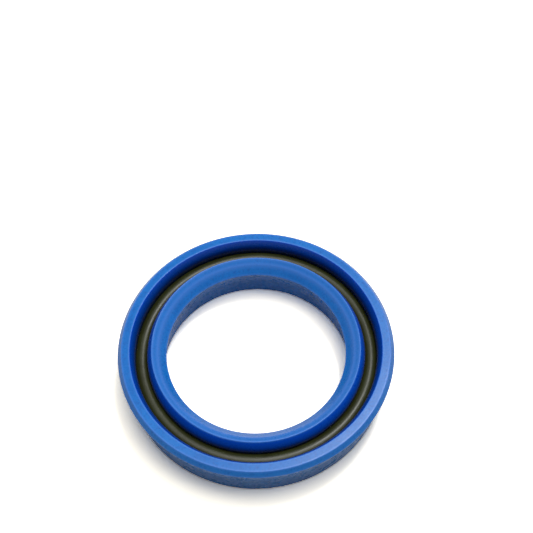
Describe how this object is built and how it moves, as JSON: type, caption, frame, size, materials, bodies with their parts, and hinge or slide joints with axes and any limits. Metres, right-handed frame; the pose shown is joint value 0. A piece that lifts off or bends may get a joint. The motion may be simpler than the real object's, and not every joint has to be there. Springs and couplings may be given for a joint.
{
  "type": "damper rod seal",
  "caption": "Blue U-cup rod seal: a ring with a flat heel and lips that spread inwards and outwards, with a black rubber ring seated in the groove between the lips.",
  "frame": {"origin": "centre of the bore, in the plane of the heel face that the seal rests on", "axes": "+Z along the bore axis, from the heel to the lips; the part is round, so X and Y are any pair across it"},
  "size_m": [0.0316, 0.0316, 0.006],
  "materials": {
    "blue_polyurethane": "satin moulded polyurethane",
    "black_rubber": "matte nitrile rubber"
  },
  "bodies": {
    "root": {"seal_ring": "blue_polyurethane", "o_ring": "black_rubber"}
  },
  "joints": []
}
